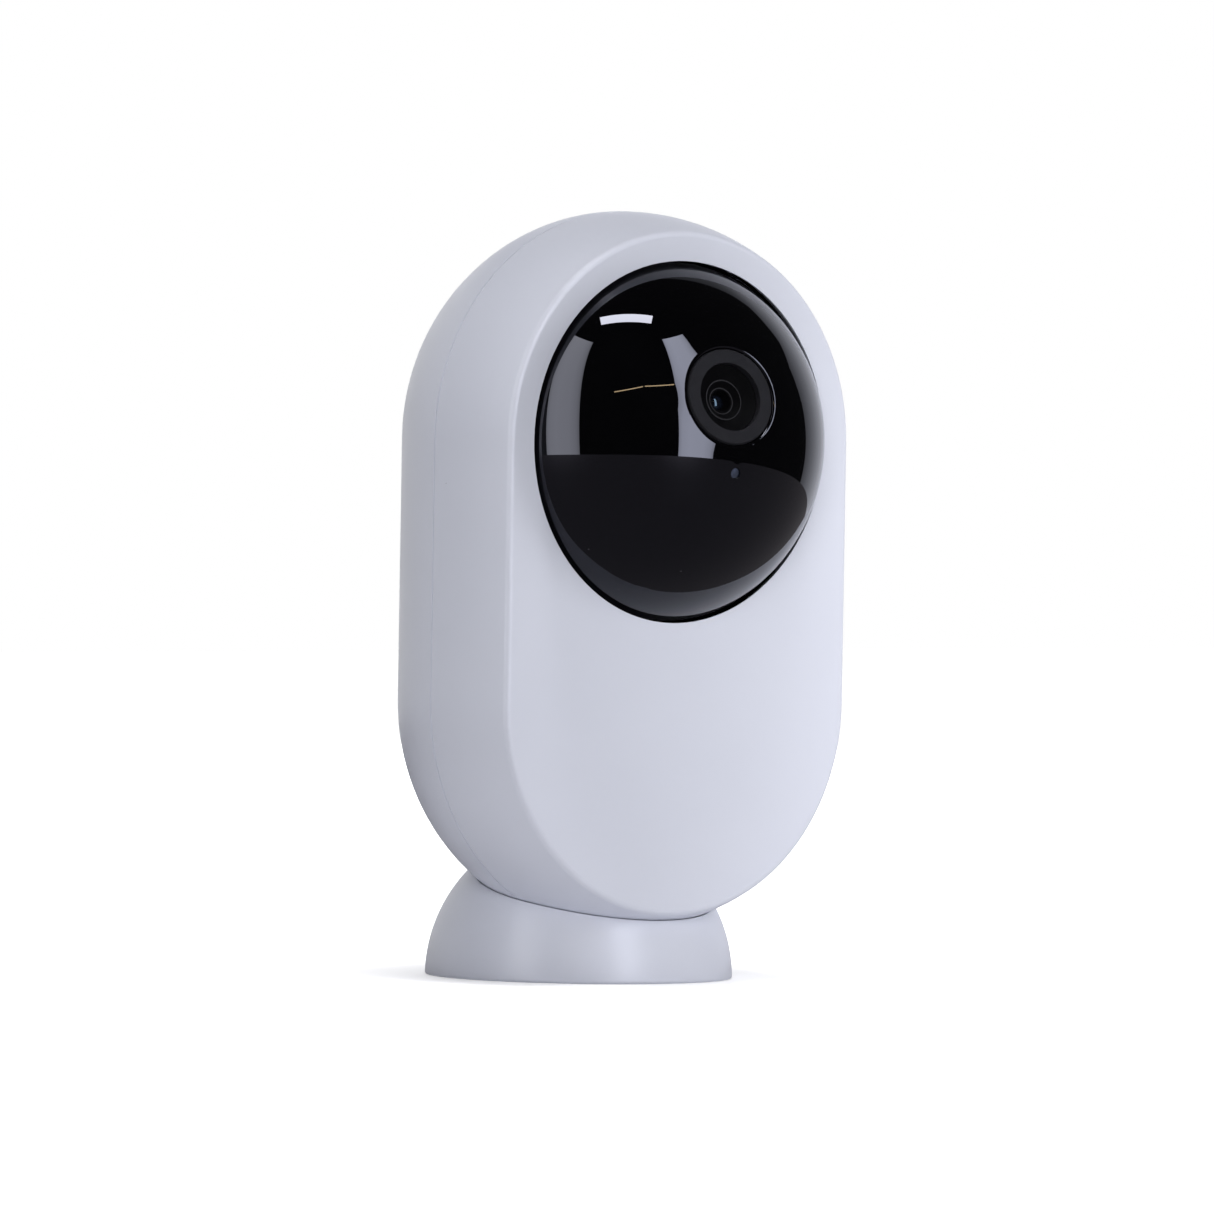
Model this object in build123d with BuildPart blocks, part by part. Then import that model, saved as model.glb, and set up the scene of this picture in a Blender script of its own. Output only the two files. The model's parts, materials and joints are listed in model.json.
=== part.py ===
import os
from math import asin, atan2, cos, hypot, pi, radians, sin, sqrt, tan

from build123d import *

os.makedirs("parts", exist_ok=True)

# Ball, in mm; the front looks along -Y and the part stands on Z = 0
ball_radius = 29.2
ball_wall = 1.8
ball_setback = 12.08
ball_rear = 7.0
rest_pan = -4.2
rest_tilt = 14.7

# Body round the ball
opening_clear = 0.916
lip_wide = 4.4
flare = 3.1
arc_distance = 40.0
split_depth = 15.5
rear_depth = 30.0
rim_forward = 24.0
wall = 2.0
dish_depth = 0.8
rim_round = 1.0
groove = 0.2
lip_gap = 0.6
gasket_gap = 0.5
gasket_deep = 2.5
tongue_thick = 1.0
tongue_deep = 2.0

# Foot
base_radius = 23.6
base_lift = 7.5
base_round = 0.4
saddle_gap = 0.15
pocket_radius = 17.5
pad_thick = 1.0
ballast_thick = 2.0
insert_radius = 4.5
insert_bore = 2.55
insert_long = 5.0
insert_roof = 0.6
stand_screw_x = 9.0
stand_screw_y = -2.0
stand_boss_rise = 10.5

# Lens and sensor window
ring_radius = 7.5
ring_hole = 5.3
ring_below_apex = 1.23
ring_deep = 2.6
ring_edge = 0.25
hole_round = 0.6
barrel_sunk = 1.0
face_drop = 1.1
bead_wide = 0.2
bead_high = 0.12
funnel_radius = 2.95
funnel_drop = 0.65
step_radius = 2.0
step_wide = 0.3
lens_drop = 1.25
lens_radius = 1.2
glass_rise = 0.45
glass_edge_thick = 1.0
sensor_drop = 23.5
sensor_radius = 0.85
window_sunk = 0.35
window_long = 2.2

# Gears and motors
gear_module = 0.8
pressure_angle = 20.0
addendum = 0.95
dedendum = 1.2
pan_teeth = 32
tilt_teeth = 32
pinion_teeth = 10
tooth_play = 0.16
shaft_radius = 1.5
shaft_sunk = 5.5
motor_radius = 6.0
motor_long = 10.0
motor_offset = 3.5
sector_half_angle = 62.0

# Turning parts under and inside the ball
ball_clear = 0.8
turn_thick = 2.4
sector_thick = 4.0
flange_thick = 0.5
thrust_gap = 0.1
deck_thick = 2.4
journal_radius = 4.0
bush_wall = 2.0
flange_wide = 3.5
hub_gap = 0.3
pinion_clear = 0.5
retainer_thick = 1.1
retainer_wide = 1.4
arm_in = 17.6
arm_thick = 2.5
arm_half_z = 6.0
arm_front = 4.0
spine_half = 11.0
spine_y = 20.0
spine_thick = 2.5
bend_y = 14.5
tilt_shaft_angle = 60.0
tilt_motor_shift = 1.5
motor_wall_x = 9.5
motor_wall_thick = 1.5
pin_radius = 2.5
pin_head = 0.8
cheek_in = 12.0
cheek_thick = 2.0
cheek_half_z = 5.0
tilt_gear_thick = 2.8
tilt_gear_gap = 0.2
carrier_front = 14.5
carrier_thick = 2.0
carrier_half_z = 11.0
carrier_screw_x = 11.0
carrier_screw_z = 8.5
holder_half = 6.4
holder_front = 3.0
barrel_seat = 0.5
chip_half = 3.0
chip_room = 4.0
chip_thick = 0.8
sensor_board_half_x = 8.5
sensor_board_half_z = 10.5
sensor_board_thick = 1.2

# Boards, port, button and speaker in the lower body
standoff_long = 3.0
board_thick = 1.6
board_edge = 3.0
board_gap = 3.0
board_rise = 15.5
board_drop = 4.4
shield_half = 7.0
shield_tall = 12.0
shield_thick = 2.0
port_drop = 17.9
port_deep = 10.5
port_half_x = 10.0
port_half_z = 3.8
port_thick = 1.6
port_wall = 1.4
port_ledge = 1.0
io_drop = 2.4
io_thick = 1.2
io_half_x = 13.0
io_deep = 12.2
io_gap = 2.8
io_screw_x = 11.0
io_screw_in = 3.2
usb_x = -3.4
usb_half_x = 4.5
usb_tall = 3.2
usb_long = 5.5
usb_skin = 0.3
usb_tongue_half = 3.2
usb_tongue_thick = 0.7
usb_tongue_sunk = 1.2
button_x = 6.0
button_radius = 1.5
button_flange = 0.5
button_flange_thick = 1.2
button_sunk = 0.3
button_travel = 0.5
button_gap = 0.1
switch_gap = 0.35
switch_half = 2.0
switch_deep = 3.0
switch_tall = 3.2
speaker_drop = 6.5
speaker_back = 8.7
speaker_radius = 6.0
speaker_thick = 4.0
speaker_rim = 0.9
magnet_in = 2.4
grille_hole = 0.5
grille_steps = 4
grille_margin = 1.6

# Screws, bosses and fits
screw_radius = 1.0
head_radius = 2.0
head_thick = 1.2
boss_radius = 3.0
screw_in = 12.0
screw_drop = 6.4
screw_seat = 8.5
well_wall = 0.8
well_gap = 0.4
ledge_wide = 7.5
ledge_tall = 6.0
ledge_gap = 3.2
ledge_back = 1.5
hole_end = 1.0
slip = 0.1
run_fit = 0.05
press_gap = 0.02
bite = 0.3

# Places that follow from the sizes above
opening_radius = sqrt(ball_radius**2 - ball_setback**2) + opening_clear
rim_half = opening_radius + lip_wide
body_half = rim_half + flare
rim_y = -rim_forward
split_y = rim_y + split_depth
rear_far = split_y + rear_depth
plate_back = rim_y + wall + dish_depth
lower_z = base_lift + body_half
upper_z = lower_z + arc_distance
flare_radius = (split_depth**2 + flare**2) / (2 * flare)
beyond = 2 * (arc_distance + 2 * body_half)
hub_radius = ball_setback - (wall + dish_depth + gasket_deep + hub_gap)
ball_y = rim_y + ball_setback
ball_z = upper_z
ball_center = Vector(0, ball_y, ball_z)
pan_axis = Axis((0, ball_y, 0), (0, 0, 1))
tilt_axis = Axis((0, ball_y, ball_z), (1, 0, 0))
lens_axis = Axis((0, ball_y, ball_z), (0, 1, 0))


def put(name, part):
    part.label = name
    export_step(part, f"parts/{name}.step")


# Pieces modelled looking straight ahead, turned to where the ball rests
def panned(part):
    return part.rotate(pan_axis, rest_pan)


def aimed(part):
    return panned(part.rotate(tilt_axis, -rest_tilt))


# Half width of the body at a depth y, taken in by an inset
def half_width(y, inset):
    if y <= split_y:
        reach = flare_radius - inset
        return body_half - flare_radius + sqrt(reach**2 - (split_y - y) ** 2)
    return (body_half - inset) * sqrt(1 - ((y - split_y) / (rear_depth - inset)) ** 2)


# Outer or inner form of the body from one side profile: straight middle and two turned ends
def oval_form(inset, front):
    start = half_width(front, inset)
    middle = (front + split_y) / 2
    with BuildPart() as form:
        with BuildSketch() as side:
            with BuildLine():
                ThreePointArc((start, front), (half_width(middle, inset), middle), (body_half - inset, split_y))
                EllipticalCenterArc((0, split_y), body_half - inset, rear_depth - inset, 0, arc_size=90)
                Line((0, split_y + rear_depth - inset), (0, front))
                Line((0, front), (start, front))
            make_face()
        side_face = side.sketch
        up_face = side_face.moved(Location((0, 0, upper_z)))
        low_face = side_face.moved(Location((0, 0, lower_z)))
        revolve(up_face, axis=Axis((0, 0, upper_z), (0, -1, 0)), revolution_arc=180)
        revolve(low_face, axis=Axis((0, 0, lower_z), (0, 1, 0)), revolution_arc=180)
        extrude(low_face, amount=arc_distance, dir=(0, 0, 1))
        extrude(mirror(low_face, about=Plane.YZ, mode=Mode.PRIVATE), amount=arc_distance, dir=(0, 0, 1))
    return form.part


# Round bar along Y, X or Z between two places
def bar_y(x, z, y0, y1, radius):
    with BuildPart() as bar:
        with BuildSketch(Plane((x, y0, z), x_dir=(1, 0, 0), z_dir=(0, 1, 0))):
            Circle(radius)
        extrude(amount=y1 - y0)
    return bar.part


def bar_x(y, z, x0, x1, radius):
    with BuildPart() as bar:
        with BuildSketch(Plane((x0, y, z), x_dir=(0, 1, 0), z_dir=(1, 0, 0))):
            Circle(radius)
        extrude(amount=x1 - x0)
    return bar.part


def bar_z(x, y, z0, z1, radius):
    with BuildPart() as bar:
        with BuildSketch(Plane((x, y, z0))):
            Circle(radius)
        extrude(amount=z1 - z0)
    return bar.part


# Block between two corners
def block(x0, x1, y0, y1, z0, z1):
    with BuildPart() as piece:
        with BuildSketch(Plane(((x0 + x1) / 2, (y0 + y1) / 2, z0))):
            Rectangle(abs(x1 - x0), y1 - y0)
        extrude(amount=z1 - z0)
    return piece.part


# Round-ended slot along Y, for the connector
def slot_y(x, z, y0, y1, wide, tall):
    with BuildPart() as slot:
        with BuildSketch(Plane((x, y0, z), x_dir=(1, 0, 0), z_dir=(0, 1, 0))):
            SlotOverall(wide, tall)
        extrude(amount=y1 - y0)
    return slot.part


# Ball of a radius about the ball centre
def ball_form(radius):
    with BuildPart(Plane((0, ball_y, ball_z))) as ball:
        Sphere(radius)
    return ball.part


# Spur gear with its centre on a plane, one tooth or one gap on the plane's x axis
def spur(plane, teeth, thick, bore, tooth_first):
    pitch = gear_module * teeth / 2
    base = pitch * cos(radians(pressure_angle))
    tip = pitch + gear_module * addendum
    root = pitch - gear_module * dedendum
    half = pi / (2 * teeth) - tooth_play / (2 * pitch)
    turn = 0 if tooth_first else pi / teeth

    def flank(radius):
        roll = sqrt((max(radius, base) / base) ** 2 - 1)
        lag = tan(radians(pressure_angle)) - radians(pressure_angle) - roll + atan2(roll, 1)
        return half + lag

    rings = [root, max(base, root + run_fit), pitch, tip]
    with BuildPart() as gear:
        with BuildSketch(plane):
            with BuildLine():
                outline = []
                for n in range(teeth):
                    at = turn + 2 * pi * n / teeth
                    for r in rings:
                        outline.append((r * cos(at - flank(r)), r * sin(at - flank(r))))
                    for r in reversed(rings):
                        outline.append((r * cos(at + flank(r)), r * sin(at + flank(r))))
                Polyline(*outline, close=True)
            make_face()
            Circle(bore, mode=Mode.SUBTRACT)
        extrude(amount=thick)
    return gear.part


body_outer = oval_form(0, rim_y)
body_inner = oval_form(wall, plate_back)
front_zone = block(-beyond, beyond, -beyond, split_y, -beyond, beyond)
rear_zone = block(-beyond, beyond, split_y, beyond, -beyond, beyond)

# Heights of the drive floor, from the ball downwards
turn_top = ball_z - ball_radius - ball_clear
turn_bottom = turn_top - turn_thick
sector_bottom = turn_bottom - sector_thick
deck_top = sector_bottom - thrust_gap - flange_thick
deck_bottom = deck_top - deck_thick
pan_center_distance = gear_module * (pan_teeth + pinion_teeth) / 2
pan_shaft_y = ball_y + pan_center_distance
motor_y = pan_shaft_y - motor_offset

# Places of screws, ledges and the main board
screw_x = body_half - screw_in
screw_z = deck_bottom - screw_drop
screw_seat_y = split_y + screw_seat
ledge_x0 = body_half - wall - ledge_wide
ledge_x1 = body_half - wall + bite
ledge_y0 = plate_back + ledge_gap
ledge_y1 = split_y - ledge_back
ledge_bottom = deck_bottom - ledge_tall
deck_screw_x = (ledge_x0 + body_half - wall) / 2 - slip
deck_screw_y = (ledge_y0 + ledge_y1) / 2
board_y = plate_back + standoff_long
board_back = board_y + board_thick
board_half = screw_x - boss_radius - board_gap
board_x = board_half - board_edge
board_low_z = base_lift + board_rise
board_high_z = deck_bottom - board_drop

# Front housing: dished face, round opening, ledges and bosses inside
dish_radius = (rim_half**2 + dish_depth**2) / (2 * dish_depth)
dish_y = rim_y + dish_depth - dish_radius
with BuildPart() as dish:
    with BuildSketch(Plane((0, dish_y, lower_z), x_dir=(0, 1, 0), z_dir=(1, 0, 0))):
        with BuildLine():
            Line((0, -dish_radius), (0, arc_distance + dish_radius))
            CenterArc((0, arc_distance), dish_radius, 90, -90)
            Line((dish_radius, arc_distance), (dish_radius, 0))
            CenterArc((0, 0), dish_radius, 0, -90)
        make_face()
    revolve(axis=Axis((0, dish_y, 0), (0, 0, 1)))

with BuildPart() as front_housing:
    add(body_outer)
    add(front_zone, mode=Mode.INTERSECT)
    split_edges = front_housing.edges().filter_by_position(Axis.Y, split_y - slip, split_y + slip)
    chamfer(split_edges, groove)
    add(dish.part, mode=Mode.SUBTRACT)
    rim_edges = front_housing.edges().filter_by_position(Axis.Y, rim_y - slip, rim_y + slip)
    fillet(rim_edges, rim_round)
    add(body_inner, mode=Mode.SUBTRACT)
    for side in (-1, 1):
        ledge_ends = sorted((side * ledge_x0, side * ledge_x1))
        add(block(*ledge_ends, ledge_y0, ledge_y1, ledge_bottom, deck_bottom))
        add(bar_y(side * screw_x, screw_z, plate_back - bite, split_y, boss_radius))
        for z in (board_low_z, board_high_z):
            add(bar_y(side * board_x, z, plate_back - bite, board_y, boss_radius - well_wall))
            add(bar_y(side * board_x, z, plate_back + bite, board_y, screw_radius + run_fit), mode=Mode.SUBTRACT)
    for side in (-1, 1):
        deck_hole = bar_z(side * deck_screw_x, deck_screw_y, ledge_bottom, deck_bottom, screw_radius + run_fit)
        add(deck_hole, mode=Mode.SUBTRACT)
        cover_hole = bar_y(side * screw_x, screw_z, plate_back + hole_end, split_y, screw_radius + run_fit)
        add(cover_hole, mode=Mode.SUBTRACT)
    add(bar_y(0, ball_z, rim_y - body_half, plate_back + body_half, opening_radius), mode=Mode.SUBTRACT)
    add(ball_form(ball_radius + lip_gap), mode=Mode.SUBTRACT)
put("front_housing", front_housing.part)

# Rear cover: tongue into the front half, screw wells, port tunnel, speaker seat and grille
port_z = lower_z - port_drop
port_floor_y = rear_far - port_deep
port_face = port_floor_y + port_thick
io_bottom = port_z - io_drop
io_top = io_bottom + io_thick
io_y1 = port_floor_y - io_gap
io_y0 = io_y1 - io_deep
io_screw_y = io_y1 - io_screw_in
speaker_z = lower_z - speaker_drop
speaker_y = rear_far - speaker_back
speaker_face = speaker_y + speaker_thick
stand_boss_top = base_lift + stand_boss_rise
tongue_inset = wall + slip
tongue_root = split_y + ledge_back

with BuildPart() as tongue:
    add(oval_form(tongue_inset, plate_back))
    add(block(-beyond, beyond, split_y - tongue_deep, split_y + hole_end, -beyond, beyond), mode=Mode.INTERSECT)
    for side in (-1, 1):
        boss_room = bar_y(side * screw_x, screw_z, ledge_y0, split_y, boss_radius + slip)
        add(boss_room, mode=Mode.SUBTRACT)
        ledge_ends = sorted((side * (ledge_x0 - slip), side * beyond))
        ledge_room = block(*ledge_ends, -beyond, split_y, ledge_bottom - slip, deck_top + ledge_back)
        add(ledge_room, mode=Mode.SUBTRACT)
    add(oval_form(wall - bite, plate_back) & block(-beyond, beyond, split_y, tongue_root, -beyond, beyond))
    add(oval_form(tongue_inset + tongue_thick, plate_back), mode=Mode.SUBTRACT)

with BuildPart() as rear_inside:
    for side in (-1, 1):
        add(bar_y(side * screw_x, screw_z, split_y, rear_far, boss_radius + well_wall))
        add(bar_z(side * stand_screw_x, stand_screw_y, 0, stand_boss_top, boss_radius))
        add(bar_z(side * io_screw_x, io_screw_y, 0, io_bottom, boss_radius - well_wall))
    tunnel_x = port_half_x + port_wall
    tunnel_z = port_half_z + port_wall
    add(block(-tunnel_x, tunnel_x, port_floor_y - port_thick, beyond, port_z - tunnel_z, port_z + tunnel_z))
    add(bar_y(0, speaker_z, speaker_face, rear_far, speaker_radius + speaker_rim))
    add(body_outer, mode=Mode.INTERSECT)
    add(rear_zone, mode=Mode.INTERSECT)
    speaker_mouth = bar_y(0, speaker_z, speaker_y, rear_far - wall, speaker_radius - speaker_rim)
    add(speaker_mouth, mode=Mode.SUBTRACT)

with BuildPart() as rear_cover:
    add(body_outer)
    add(rear_zone, mode=Mode.INTERSECT)
    add(body_inner, mode=Mode.SUBTRACT)
    add(tongue.part)
    add(rear_inside.part)
    for side in (-1, 1):
        add(bar_y(side * screw_x, screw_z, screw_seat_y, beyond, head_radius + well_gap), mode=Mode.SUBTRACT)
        cover_hole = bar_y(side * screw_x, screw_z, split_y - hole_end, screw_seat_y, screw_radius + run_fit)
        add(cover_hole, mode=Mode.SUBTRACT)
        stand_hole = bar_z(side * stand_screw_x, stand_screw_y, 0, stand_boss_top - hole_end, screw_radius + run_fit)
        add(stand_hole, mode=Mode.SUBTRACT)
        io_hole = bar_z(side * io_screw_x, io_screw_y, io_bottom - standoff_long, io_bottom, screw_radius + run_fit)
        add(io_hole, mode=Mode.SUBTRACT)
    recess = block(-port_half_x, port_half_x, port_floor_y, beyond, port_z - port_half_z, port_z + port_half_z)
    add(recess, mode=Mode.SUBTRACT)
    window_x = port_half_x - port_ledge
    window_z = port_half_z - port_ledge
    window = block(-window_x, window_x, port_floor_y - port_thick, port_floor_y, port_z - window_z, port_z + window_z)
    add(window, mode=Mode.SUBTRACT)
    with BuildSketch(Plane((0, speaker_face, speaker_z), x_dir=(1, 0, 0), z_dir=(0, 1, 0))):
        Circle(grille_hole)
        for ring in range(1, grille_steps):
            with PolarLocations(ring * (speaker_radius - grille_margin) / (grille_steps - 1), 6 * ring):
                Circle(grille_hole)
    extrude(amount=rear_depth, mode=Mode.SUBTRACT)
put("rear_cover", rear_cover.part)

# Foot: half ball with a saddle, pocket below for weight, pad and tripod thread
pocket_deep = pad_thick + ballast_thick
with BuildPart() as base_dome:
    Sphere(base_radius)
    add(block(-beyond, beyond, -beyond, beyond, 0, beyond), mode=Mode.INTERSECT)
    fillet(base_dome.edges().filter_by_position(Axis.Z, -slip, slip), base_round)
    add(oval_form(-saddle_gap, rim_y - saddle_gap), mode=Mode.SUBTRACT)
    add(bar_z(0, 0, 0, pocket_deep, pocket_radius), mode=Mode.SUBTRACT)
    add(bar_z(0, 0, 0, insert_long, insert_radius), mode=Mode.SUBTRACT)
    for side in (-1, 1):
        head_room = bar_z(side * stand_screw_x, stand_screw_y, 0, pocket_deep + head_thick, head_radius + well_gap)
        add(head_room, mode=Mode.SUBTRACT)
        stand_hole = bar_z(side * stand_screw_x, stand_screw_y, 0, stand_boss_top, screw_radius + run_fit)
        add(stand_hole, mode=Mode.SUBTRACT)
put("base_dome", base_dome.part.solids().sort_by(SortBy.VOLUME)[-1])

with BuildPart() as ballast_plate:
    add(bar_z(0, 0, pad_thick, pocket_deep, pocket_radius - slip))
    add(bar_z(0, 0, 0, pocket_deep, insert_radius + slip), mode=Mode.SUBTRACT)
put("ballast_plate", ballast_plate.part)

with BuildPart() as foot_pad:
    add(bar_z(0, 0, 0, pad_thick, pocket_radius - slip))
    add(bar_z(0, 0, 0, pad_thick, insert_radius + slip), mode=Mode.SUBTRACT)
put("foot_pad", foot_pad.part)

with BuildPart() as tripod_insert:
    add(bar_z(0, 0, 0, insert_long, insert_radius - run_fit))
    add(bar_z(0, 0, 0, insert_long - insert_roof, insert_bore), mode=Mode.SUBTRACT)
put("tripod_insert", tripod_insert.part)

with BuildPart() as stand_screws:
    for side in (-1, 1):
        add(bar_z(side * stand_screw_x, stand_screw_y, pocket_deep, pocket_deep + head_thick, head_radius))
        add(bar_z(side * stand_screw_x, stand_screw_y, pocket_deep, stand_boss_top - 2 * hole_end, screw_radius))
put("stand_screws", stand_screws.part)

with BuildPart() as housing_screws:
    for side in (-1, 1):
        add(bar_y(side * screw_x, screw_z, screw_seat_y, screw_seat_y + head_thick, head_radius))
        add(bar_y(side * screw_x, screw_z, plate_back + 2 * hole_end, screw_seat_y, screw_radius))
put("housing_screws", housing_screws.part)

# Black ring behind the lip of the opening
gasket_radius = half_width(plate_back, wall) - bite
with BuildPart() as ball_gasket:
    add(bar_y(0, ball_z, plate_back, plate_back + gasket_deep, gasket_radius))
    add(ball_form(ball_radius + gasket_gap), mode=Mode.SUBTRACT)
put("ball_gasket", ball_gasket.part)

# Main board behind the front plate
with BuildPart() as main_board:
    add(block(-board_half, board_half, board_y, board_back, board_low_z - board_edge, board_high_z + board_edge))
    for side in (-1, 1):
        for z in (board_low_z, board_high_z):
            add(bar_y(side * board_x, z, board_y, board_back, screw_radius + slip), mode=Mode.SUBTRACT)
put("main_board", main_board.part)

shield_back = board_back + shield_thick
put("main_shield", block(-shield_half, shield_half, board_back, shield_back, board_low_z, board_low_z + shield_tall))

with BuildPart() as board_screws:
    for side in (-1, 1):
        for z in (board_low_z, board_high_z):
            add(bar_y(side * board_x, z, board_back, board_back + head_thick, head_radius))
            add(bar_y(side * board_x, z, plate_back + 2 * bite, board_back, screw_radius))
put("board_screws", board_screws.part)

# Port board with its connector, and the panel and button behind the recess
with BuildPart() as io_board:
    add(block(-io_half_x, io_half_x, io_y0, io_y1, io_bottom, io_top))
    for side in (-1, 1):
        add(bar_z(side * io_screw_x, io_screw_y, io_bottom, io_top, screw_radius + slip), mode=Mode.SUBTRACT)
put("io_board", io_board.part)

with BuildPart() as io_screws:
    for side in (-1, 1):
        add(bar_z(side * io_screw_x, io_screw_y, io_top, io_top + head_thick, head_radius))
        add(bar_z(side * io_screw_x, io_screw_y, io_bottom - standoff_long + bite, io_top, screw_radius))
put("io_screws", io_screws.part)

usb_y0 = io_y1 - usb_long
usb_z = io_top + usb_tall / 2
with BuildPart() as usb_socket:
    add(slot_y(usb_x, usb_z, usb_y0, port_face, 2 * usb_half_x, usb_tall))
    inner_wide = 2 * (usb_half_x - usb_skin)
    inner_tall = usb_tall - 2 * usb_skin
    add(slot_y(usb_x, usb_z, usb_y0 + hole_end, port_face, inner_wide, inner_tall), mode=Mode.SUBTRACT)
    tongue_ends = (usb_x - usb_tongue_half, usb_x + usb_tongue_half)
    tongue_half_z = usb_tongue_thick / 2
    add(block(*tongue_ends, usb_y0 + bite, port_face - usb_tongue_sunk, usb_z - tongue_half_z, usb_z + tongue_half_z))
put("usb_socket", usb_socket.part)

button_front = port_face - button_sunk
flange_front = port_floor_y - slip - run_fit
flange_back = flange_front - button_flange_thick
with BuildPart() as port_panel:
    panel_x = port_half_x - run_fit
    panel_z = port_half_z - run_fit
    add(block(-panel_x, panel_x, port_floor_y, port_face, port_z - panel_z, port_z + panel_z))
    usb_hole = slot_y(usb_x, usb_z, port_floor_y, port_face, 2 * (usb_half_x + slip), usb_tall + 2 * slip)
    add(usb_hole, mode=Mode.SUBTRACT)
    add(bar_y(button_x, usb_z, port_floor_y, port_face, button_radius + button_gap), mode=Mode.SUBTRACT)
put("port_panel", port_panel.part)

with BuildPart() as reset_button:
    add(bar_y(button_x, usb_z, flange_back, button_front, button_radius))
    add(bar_y(button_x, usb_z, flange_back, flange_front, button_radius + button_flange))
put("reset_button", reset_button.part)

switch_front = flange_back - button_travel - switch_gap
switch_ends = (button_x - switch_half, button_x + switch_half)
put("reset_switch", block(*switch_ends, switch_front - switch_deep, switch_front, io_top, io_top + switch_tall))

with BuildPart() as speaker:
    add(bar_y(0, speaker_z, speaker_y + speaker_rim, speaker_face, speaker_radius))
    add(bar_y(0, speaker_z, speaker_y, speaker_y + 2 * speaker_rim, speaker_radius - magnet_in))
put("speaker", speaker.part)

# Drive floor and the pan motor under it
deck_clear = wall + well_gap
deck_back = speaker_y - thrust_gap - well_gap
with BuildPart() as mechanism_deck:
    add(oval_form(deck_clear, plate_back + well_gap))
    add(block(-beyond, beyond, -beyond, deck_back, deck_bottom, deck_top), mode=Mode.INTERSECT)
    add(bar_z(0, ball_y, deck_bottom, deck_top, journal_radius + bush_wall), mode=Mode.SUBTRACT)
    add(bar_z(0, pan_shaft_y, deck_bottom, deck_top, shaft_radius + well_gap), mode=Mode.SUBTRACT)
    for side in (-1, 1):
        tongue_ends = sorted((side * ledge_x0, side * beyond))
        tongue_front = split_y - tongue_deep - slip
        tongue_room = block(*tongue_ends, tongue_front, tongue_root + slip, deck_bottom, deck_top)
        add(tongue_room, mode=Mode.SUBTRACT)
        deck_hole = bar_z(side * deck_screw_x, deck_screw_y, deck_bottom, deck_top, screw_radius + slip)
        add(deck_hole, mode=Mode.SUBTRACT)
put("mechanism_deck", mechanism_deck.part)

with BuildPart() as deck_screws:
    for side in (-1, 1):
        add(bar_z(side * deck_screw_x, deck_screw_y, deck_top, deck_top + head_thick, head_radius))
        add(bar_z(side * deck_screw_x, deck_screw_y, ledge_bottom + bite, deck_top, screw_radius))
put("deck_screws", deck_screws.part)

with BuildPart() as pan_bush:
    add(bar_z(0, ball_y, deck_top, deck_top + flange_thick, journal_radius + flange_wide))
    add(bar_z(0, ball_y, deck_bottom, deck_top, journal_radius + bush_wall - run_fit))
    add(bar_z(0, ball_y, deck_bottom, deck_top + flange_thick, journal_radius + run_fit), mode=Mode.SUBTRACT)
put("pan_bush", pan_bush.part)

with BuildPart() as pan_motor:
    add(bar_z(0, motor_y, deck_bottom - motor_long, deck_bottom, motor_radius))
    shaft_hole = bar_z(0, pan_shaft_y, deck_bottom - shaft_sunk - bite, deck_bottom, shaft_radius + run_fit)
    add(shaft_hole, mode=Mode.SUBTRACT)
put("pan_motor", pan_motor.part)

pinion_top = turn_bottom - pinion_clear
pinion_plane = Plane((0, pan_shaft_y, sector_bottom), x_dir=(0, -1, 0), z_dir=(0, 0, 1))
pinion_bore = shaft_radius + press_gap
put("pan_shaft", bar_z(0, pan_shaft_y, deck_bottom - shaft_sunk, pinion_top, shaft_radius))
put("pan_pinion", spur(pinion_plane, pinion_teeth, pinion_top - sector_bottom, pinion_bore, False))

# Turning fork: hub and tongue under the ball, spine behind it, arms inside it
arm_out = arm_in + arm_thick
spine_back = spine_y + spine_thick
spine_ends = (ball_y + spine_y, ball_y + spine_back)
tilt_center_distance = gear_module * (tilt_teeth + pinion_teeth) / 2
tilt_shaft_y = ball_y + tilt_center_distance * cos(radians(tilt_shaft_angle))
tilt_shaft_z = ball_z - tilt_center_distance * sin(radians(tilt_shaft_angle))
tilt_motor_y = tilt_shaft_y + tilt_motor_shift
tilt_motor_z = tilt_shaft_z + sqrt(motor_offset**2 - tilt_motor_shift**2)
motor_wall = (motor_wall_x, motor_wall_x + motor_wall_thick)
bend_in = bend_y - arm_thick / 2
spine_in = spine_half - arm_thick / 2

with BuildPart() as pan_yoke:
    with BuildSketch(Plane((0, ball_y, ball_z - arm_half_z))) as fork_outline:
        with BuildLine():
            Polyline((0, spine_y), (spine_in, spine_y), (arm_in, bend_in), (arm_in, -arm_front), (arm_out, -arm_front),
                     (arm_out, bend_y), (spine_half, spine_back), (0, spine_back), close=True)
        make_face()
        mirror(about=Plane.YZ)
    extrude(amount=2 * arm_half_z)
    add(block(-spine_half, spine_half, *spine_ends, turn_bottom, ball_z))
    add(bar_z(0, ball_y, turn_bottom, turn_top, hub_radius))
    add(block(-spine_half, spine_half, ball_y, ball_y + spine_back, turn_bottom, turn_top))
    add(bar_z(0, ball_y, deck_bottom, turn_bottom, journal_radius))
    wall_front = tilt_motor_y - motor_radius - hole_end
    add(block(*motor_wall, wall_front, ball_y + spine_y, tilt_motor_z - motor_radius, tilt_motor_z + motor_radius))
    add(bar_x(tilt_shaft_y, tilt_shaft_z, *motor_wall, shaft_radius + well_gap), mode=Mode.SUBTRACT)
    add(bar_x(ball_y, ball_z, -arm_out, arm_out, pin_radius + run_fit), mode=Mode.SUBTRACT)
    add(bar_z(0, ball_y, deck_bottom, turn_bottom, screw_radius + run_fit), mode=Mode.SUBTRACT)
put("pan_yoke", panned(pan_yoke.part))

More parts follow.
